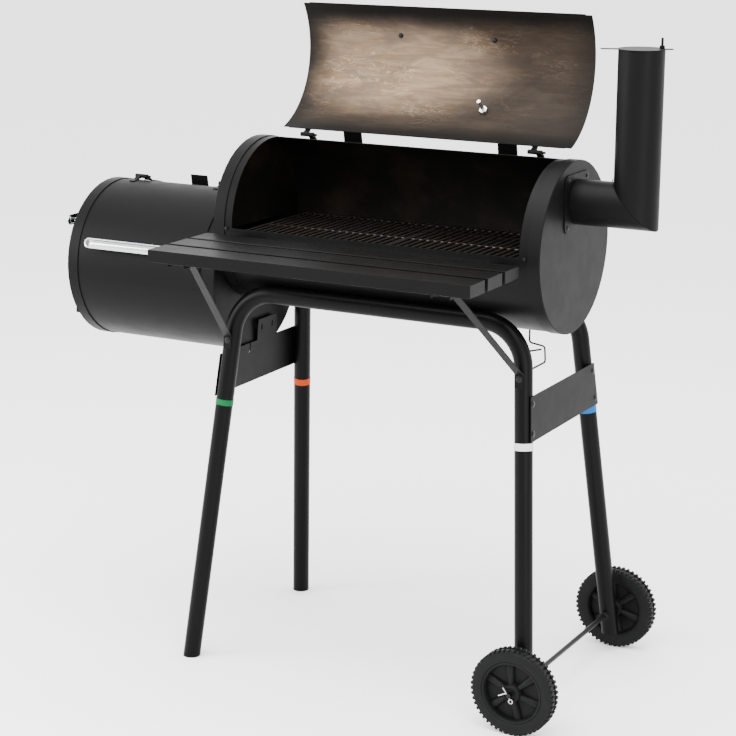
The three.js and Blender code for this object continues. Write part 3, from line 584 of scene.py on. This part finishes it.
# Plain coloured bands round each leg, below the cross plates.
def band(name, sx, sy, top, bottom, material):
    points = [leg_point(sx, sy, z) for z in (top, bottom)]
    outer = tube_rings(points, (TUBE_R + 0.55) * MM, 40)
    inner = tube_rings(points, (TUBE_R + 0.05) * MM, 40)
    shape = Shape()
    shape.rings(outer + inner[::-1], loop=True)
    make(name, shape.verts, shape.faces, material)


band("band_front_left", -1, -1, -358, -370, sticker("band_green", (0.0008, 0.090, 0.026)))
band("band_rear_left", -1, 1, -383, -397, sticker("band_orange", (0.36, 0.035, 0.003)))
band("band_front_right", 1, -1, -357, -371, sticker("band_white", (0.55, 0.55, 0.55)))
band("band_rear_right", 1, 1, -355, -369, sticker("band_blue", (0.0006, 0.085, 0.28)))


# ---------------------------------------------------------------- screws
def screw(shape, place, normal, radius, height=2.0):
    """Pan head with a round recess in its top, on a washer."""
    n = normal.normalized()
    r, h = radius * MM, height * MM
    shape.solid(place, n, [(0, -0.5 * MM), (r * 1.25, -0.5 * MM), (r * 1.25, 0.5 * MM), (0, 0.5 * MM)], 20)
    shape.solid(place, n, [(0, 0), (r, 0), (r, h * 0.35), (r * 0.86, h * 0.75), (r * 0.5, h), (r * 0.30, h),
                           (r * 0.12, h * 0.55), (0, h * 0.5)], 20)


def screws(name, spots, radius, material, body="smoker", height=2.0):
    shape = Shape()
    for place, normal in spots:
        screw(shape, place, normal, radius, height)
    return make(name, shape.verts, shape.faces, material, body)


# ---------------------------------------------------------------- wheels
WHEEL_R = (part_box("wheel_front")[1].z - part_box("wheel_front")[0].z) / 2 / MM
BLOCKS = 50
BLOCK_FACES = [(0, 1, 3, 2), (4, 6, 7, 5), (0, 4, 5, 1), (2, 3, 7, 6), (0, 2, 6, 4), (1, 5, 7, 3)]
SPOKES = ((15, 6.0, 13.5), (24, 7.0, 13.0), (36, 8.4, 11.5), (48, 9.8, 9.5), (56.5, 10.6, 8.0))


def wheel(node, outward):
    centre = mid(node)
    y = Vector((0, outward, 0))
    k = MM
    shape = Shape()
    tread = WHEEL_R - 3.6
    shape.lathe(centre, y, [
        (57 * k, -14 * k), (60 * k, -16.2 * k), (64 * k, -16.6 * k), (72 * k, -17.4 * k),
        (tread * k - 2 * k, -15.5 * k),
        (tread * k, -13 * k), (tread * k, 13 * k), (tread * k - 2 * k, 15.5 * k), (72 * k, 17.4 * k),
        (64 * k, 16.6 * k), (62.5 * k, 15.2 * k), (61 * k, 16.4 * k), (58.5 * k, 16.0 * k), (57 * k, 14 * k),
        (55.5 * k, 10 * k), (55.5 * k, -10 * k)], 72)
    web = [(5.4 * k, -1.5 * k), (56 * k, -1.5 * k), (56 * k, 1.5 * k), (5.4 * k, 1.5 * k)]
    shape.lathe(centre, y, web, 72)
    shape.lathe(centre, y, [
        (5.4 * k, -19 * k), (15 * k, -19 * k), (17 * k, -17 * k), (19 * k, -9 * k), (19.5 * k, 0),
        (19 * k, 10 * k),
        (17.5 * k, 17.5 * k), (16 * k, 19 * k), (13.5 * k, 19 * k), (12.5 * k, 16.5 * k), (8.5 * k, 16.5 * k),
        (8 * k, 18.4 * k), (5.4 * k, 18.4 * k)], 48)
    for i in range(6):
        t = math.radians(60 * i + 40)
        out = Vector((math.cos(t), 0, math.sin(t)))
        side = out.cross(y)
        rings = []
        for r, half, lift in SPOKES:
            rings.append([centre + out * r * k + side * half * k * math.cos(a) + y * lift * k * math.sin(a)
                          for a in [2 * math.pi * j / 20 for j in range(20)]])
        shape.rings(rings)
    for row, offset in ((-1, 0.0), (1, 0.5)):
        for i in range(BLOCKS):
            t = 2 * math.pi * (i + offset) / BLOCKS
            half = 0.27 * 2 * math.pi / BLOCKS
            verts = []
            for r, w0, w1, grow in ((tread - 4, 4.0, 15.2, 1.25), (WHEEL_R, 5.0, 13.4, 0.85)):
                for s in (-1, 1):
                    for w in (w0, w1):
                        a = t + s * half * grow
                        verts.append(centre + Vector((math.cos(a), 0, math.sin(a))) * r * k + y * row * w * k)
            shape.add(verts, BLOCK_FACES)
    obj = make(node + "_moulding", shape.verts, shape.faces, wheel_look, node, 34)
    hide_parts(node)
    return centre


def split_pin(name, centre, outward):
    """Bright split pin through the axle's end, with its ring and spread legs."""
    y = Vector((0, outward, 0))
    k = MM
    hub = centre + y * 22.5 * k
    shape = Shape()

    def spot(x, z):
        return hub + Vector((x, 0, z)) * k

    eye = spot(3, -13)
    turns = [2 * math.pi * j / 20 for j in range(20)]
    ring = [eye + Vector((math.cos(a), 0, math.sin(a))) * 4 * k for a in turns]
    rings = []
    for i, p in enumerate(ring):
        tangent = (ring[(i + 1) % 20] - ring[i - 1]).normalized()
        normal = y.cross(tangent)
        rings.append([p + (normal * math.cos(b) + y * math.sin(b)) * 1.2 * k
                      for b in [2 * math.pi * j / 8 for j in range(8)]])
    shape.rings(rings, loop=True)
    for tip in (spot(-14, 12.4), spot(-23, -6)):
        shape.rings(tube_rings([spot(1.2, -9.4), spot(-3, -3), spot(-6.5, 2), tip], 1.1 * k, 8))
    make(name, shape.verts, shape.faces, bright_screw)


AXLE = mid("axle")
for node, outward in (("wheel_front", -1), ("wheel_rear", 1)):
    hub = wheel(node, outward)
    split_pin(node + "_pin", hub, outward)
collars = Shape()
for sy in (-1, 1):
    leg = leg_point(1, sy, AXLE.z / MM - AXIS.z / MM)
    out = Vector((0, sy, 0))
    inner_face = Vector((AXLE.x, leg.y, AXLE.z)) - out * 20 * MM
    collars.lathe(inner_face, -out, [(5.2 * MM, 0), (9 * MM, 0), (9.5 * MM, 1 * MM), (8.5 * MM, 9 * MM),
                                     (7.5 * MM, 10 * MM), (5.2 * MM, 10 * MM)], 28)
make("axle_collars", collars.verts, collars.faces, foot_look)


# ---------------------------------------------------------------- cooking grates
def rod_grate(node, count, material, radius=2.0, cross=(0.03, 0.34, 0.66, 0.97)):
    """Round rods along y over cross rods along x, inside the CAD grate's box."""
    lo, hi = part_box(node)
    r = radius * MM
    shape = Shape()
    for i in range(count):
        x = lo.x + r + (hi.x - lo.x - 2 * r) * i / (count - 1)
        ends = [Vector((x, lo.y + 0.001, hi.z - r)), Vector((x, hi.y - 0.001, hi.z - r))]
        shape.rings(tube_rings(ends, r, 12))
    for part in cross:
        y = lo.y + (hi.y - lo.y) * part
        ends = [Vector((lo.x, y, lo.z + r)), Vector((hi.x, y, lo.z + r))]
        shape.rings(tube_rings(ends, r, 12))
    obj = make(node + "_rods", shape.verts, shape.faces, material)
    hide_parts(node)


for node in ("cooking_grate_left", "cooking_grate_right"):
    rod_grate(node, 21, grate_look, 2.1, (0.02, 0.5, 0.98))
rod_grate("charcoal_grate", 24, fire_grate_look, 2.4, (0.15, 0.5, 0.85))
rod_grate("firebox_grate", 16, fire_grate_look, 2.4, (0.15, 0.5, 0.85))


# ---------------------------------------------------------------- chrome handles
def handle(node, body, long_axis, out_axis, base, length, rise, width):
    """Pressed pull on two posts: an oval plate with a rolled rim and a half-round bar along it, and a dark
    plate over its floor as painted shade and painted dark reflection in the recess.
    """
    side = out_axis.cross(long_axis).normalized()
    half_l, half_w = length / 2, width / 2
    floor_height = rise - 6.4 * MM
    stations = 72
    across = 24
    top = []
    for i in range(stations + 1):
        x = -math.cos(math.pi * i / stations) * half_l
        from_end = half_l - abs(x)
        w = half_w * math.sqrt(max(1e-4, 1 - max(0, 1 - from_end / half_w) ** 2))
        bar = min(1, max(0, (from_end - 11 * MM) / (7 * MM)))
        row = []
        for j in range(across + 1):
            v = -1 + 2 * j / across
            edge = math.hypot(max(0, half_w - from_end), v * w) if from_end < half_w else abs(v) * w
            lip = math.exp(-((edge / half_w - 0.90) / 0.11) ** 2) * 2.4 * MM
            bulge = math.sqrt(bar) * math.sqrt(max(0, 1 - ((v + 0.14) / 0.76) ** 2)) * 6.2 * MM
            row.append(base + long_axis * x + side * v * w + out_axis * (floor_height + max(lip, bulge)))
        top.append(row)
    under = [[p - out_axis * 1.5 * MM for p in row] for row in top]
    shape = Shape()
    shape.rings([row + low[::-1] for row, low in zip(top, under)])
    for s in (-1, 1):
        foot = base + long_axis * s * (half_l - POST_INSET * MM)
        shape.solid(foot, out_axis, [
            (0, 0.2 * MM), (6.5 * MM, 0.2 * MM), (6.5 * MM, 1.4 * MM), (4.5 * MM, 2.2 * MM),
            (4.5 * MM, floor_height), (0, floor_height)], 24)
    obj = make(node + "_pressing", shape.verts, shape.faces, chrome_look, body, 50)
    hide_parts(node)
    # A dark plate laid just over the pressing's floor: painted shade and painted dark reflection in the
    # recess.
    plate = Shape()
    rings = []
    for height in (floor_height - 0.6 * MM, floor_height + 0.35 * MM):
        rings.append([base + long_axis * (s * (half_l - half_w) + math.cos(a) * half_w * 0.80)
                      + side * math.sin(a) * half_w * 0.80 + out_axis * height
                      for s, first in ((1, -90), (-1, 90))
                      for a in [math.radians(first + 12 * k) for k in range(16)]])
    plate.rings(rings)
    make(node + "_recess", plate.verts, plate.faces, recess_shade_look, body, 50)
    return obj


POST_INSET = 22.0
X = Vector((1, 0, 0))
LID_OUT = 171.2 * MM
lid_pivot = Vector(next(j for j in frame["joints"] if j["name"] == "lid_hinge")["pos_m"])
OPEN = Matrix.Rotation(-math.radians(LID_OPEN), 3, "X")
PIVOT = Vector((AXIS.x, lid_pivot.y, lid_pivot.z))
OPEN_CENTRE = PIVOT + OPEN @ (AXIS - PIVOT)


def outwards(degrees):
    """Unit direction out of a barrel: 0 is its back, 90 its top, 180 its front."""
    t = math.radians(degrees)
    return Vector((0, math.cos(t), math.sin(t)))


def around(centre, degrees, radius):
    return centre + outwards(degrees) * radius


GRIP_ANGLE = 160.5 - LID_OPEN
FIREBOX_GRIP_ANGLE = 161.4
GRIP_SIZE = (258 * MM, 26 * MM, 22 * MM)
NUT_X = 106.5
handle("lid_handle", "lid", X, outwards(GRIP_ANGLE), around(OPEN_CENTRE, GRIP_ANGLE, LID_OUT), *GRIP_SIZE)
fb_centre = Vector((mid("firebox_lid").x, FIREBOX_AXIS.y, FIREBOX_AXIS.z))
handle("firebox_lid_handle", "firebox_lid", X, outwards(FIREBOX_GRIP_ANGLE),
       around(fb_centre, FIREBOX_GRIP_ANGLE, LID_OUT), *GRIP_SIZE)
door_lo, door_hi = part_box("firebox_door_handle")
handle("firebox_door_handle", "firebox_door", Vector((0, 1, 0)), Vector((-1, 0, 0)),
       Vector((door_hi.x, (door_lo.y + door_hi.y) / 2, (door_lo.z + door_hi.z) / 2)),
       door_hi.y - door_lo.y, door_hi.x - door_lo.x, 22 * MM)

# Nuts of the handle's screws inside the lid.
nut_seat = around(OPEN_CENTRE, GRIP_ANGLE, 168.9 * MM)
screws("lid_handle_nuts", [(nut_seat + X * s * NUT_X * MM, -outwards(GRIP_ANGLE)) for s in (-1, 1)],
       4.2, dark_screw, "lid", 4.5)

# ---------------------------------------------------------------- thermometer dial and glass
THERMO_ANGLE = 110 - LID_OPEN
case_dir = outwards(THERMO_ANGLE)
case_base = around(OPEN_CENTRE, THERMO_ANGLE, LID_OUT + 2.2 * MM) + X * (mid("thermometer_case").x - AXIS.x)


def dial_material():
    g = Graph("thermometer_dial")
    parts = g.split()
    middle = case_base
    out_y, out_z = case_dir.y, case_dir.z
    px = g.math("SUBTRACT", parts[0], middle.x)
    py = g.math("ADD", g.math("MULTIPLY", g.math("SUBTRACT", parts[1], middle.y), -out_z),
                g.math("MULTIPLY", g.math("SUBTRACT", parts[2], middle.z), out_y))
    turn_angle = g.math("ARCTAN2", py, px)
    tick = g.math("GREATER_THAN", g.math("COSINE", g.math("MULTIPLY", turn_angle, 36)), 0.80)
    radius = g.math("SQRT", g.math("ADD", g.math("MULTIPLY", px, px), g.math("MULTIPLY", py, py)))
    outside = g.math("GREATER_THAN", radius, 16.5 * MM)
    ring = g.math("MULTIPLY", outside, g.math("LESS_THAN", radius, 20.5 * MM))
    marked = g.math("MULTIPLY", tick, ring)
    paper = g.blend(g.noise(40), (0.78, 0.77, 0.74), (0.70, 0.69, 0.65))
    return g.finish(g.blend(marked, paper, (0.02, 0.02, 0.02)), 0.5)


dial = Shape()
dial.solid(case_base, case_dir, [
    (0, 5.1 * MM), (22.4 * MM, 5.1 * MM), (22.4 * MM, 5.5 * MM), (0, 5.5 * MM)], 48)
make("thermometer_dial", dial.verts, dial.faces, dial_material(), "lid")
glass_graph = Graph("thermometer_glass")
glass_graph.bsdf.inputs["Transmission Weight"].default_value = 1.0
glass_graph.bsdf.inputs["IOR"].default_value = 1.45
glass_haze = glass_graph.span(glass_graph.noise(20), 0.3, 0.7, 0.02, 0.05)
glass_look = glass_graph.finish((0.95, 0.97, 0.97), glass_haze)
pane = Shape()
pane.solid(case_base, case_dir, [
    (0, 11.2 * MM), (22.7 * MM, 11.2 * MM), (22.7 * MM, 12.2 * MM), (0, 12.6 * MM)], 48)
make("thermometer_pane", pane.verts, pane.faces, glass_look, "lid")

# ---------------------------------------------------------------- small fasteners
plate_spots = []
for sx in (-1, 1):
    for sy in (-1, 1):
        for z in (-281, -338):
            spot = leg_point(sx, sy, z)
            plate_spots.append((spot + X * sx * (TUBE_R + 2.4) * MM, X * sx))
screws("cross_plate_screws", plate_spots, 5.0, dark_screw)

brace_spots = []
for sx in (-1, 1):
    spot = leg_point(sx, -1, -232)
    brace_spots.append((spot + Vector((0, -(TUBE_R + 3.2) * MM, 0)), Vector((0, -1, 0.12))))
screws("brace_screws", brace_spots, 5.4, dark_screw)

flange_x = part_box("chimney_flange")[1].x
screws("chimney_flange_screws", [(Vector((flange_x, AXIS.y + y * MM, AXIS.z + z * MM)), X)
                                 for y in (-45, 45) for z in (45, 135)], 4.0, dark_screw)
cap_bolts = []
for x in (329, -329):
    cap_bolts.append((around(at(x, 0, 0), 179.3, 170.0 * MM), outwards(179.3)))
    cap_bolts.append((around(at(x, 0, 0), 60, 168.4 * MM), outwards(60)))
screws("chamber_end_screws", cap_bolts, 3.0, dark_screw)
screws("rear_wall_screws", [(around(at(x, 0, 0), 83, 167.8 * MM), outwards(83)) for x in (-46, -55)],
       2.2, bright_screw, height=0.8)
screws("grate_rail_screws", [(at(x, sy * 166.4, -24), Vector((0, -sy, 0)))
                             for x in (-230, -35, 230) for sy in (-1, 1)], 2.6, bright_screw, height=2.2)
elbow = Shape()
screw(elbow, at(437, -10, 138), Vector((-1, -0.3, 0.3)), 2.4, 1.6)
make("elbow_screw", elbow.verts, elbow.faces, dark_screw)

# ---------------------------------------------------------------- floor, lights and world
FLOOR_HALF = 30
floor_mesh = bpy.data.meshes.new("floor")
floor_mesh.from_pydata([(-FLOOR_HALF, -FLOOR_HALF, 0), (FLOOR_HALF, -FLOOR_HALF, 0),
                        (FLOOR_HALF, FLOOR_HALF, 0), (-FLOOR_HALF, FLOOR_HALF, 0)], [], [(0, 1, 2, 3)])
floor_look = Graph("floor_white")
floor_mesh.materials.append(floor_look.finish((0.90, 0.90, 0.90), 0.7, specular=0.2))
floor = bpy.data.objects.new("floor", floor_mesh)
bpy.context.scene.collection.objects.link(floor)
floor.location.z = -0.0005


def area_light(name, place, target, size, power):
    data = bpy.data.lights.new(name, "AREA")
    data.shape = "RECTANGLE"
    data.size, data.size_y = size
    data.energy = power
    obj = bpy.data.objects.new(name, data)
    bpy.context.scene.collection.objects.link(obj)
    obj.location = place
    obj.rotation_euler = (Vector(target) - Vector(place)).to_track_quat("-Z", "Y").to_euler()


area_light("key_top", (0.3, -1.0, 3.6), (0, 0, 0.6), (3.2, 3.2), 300)
area_light("fill_right", (3.4, -2.2, 1.6), (0, 0, 0.8), (1.6, 2.4), 90)
area_light("fill_left", (-3.2, -2.4, 1.9), (0, 0, 0.8), (1.6, 2.4), 170)
world = bpy.data.worlds.new("studio")
world.use_nodes = True
world.node_tree.nodes["Background"].inputs["Color"].default_value = (1, 1, 1, 1)
world.node_tree.nodes["Background"].inputs["Strength"].default_value = 3.0
bpy.context.scene.world = world
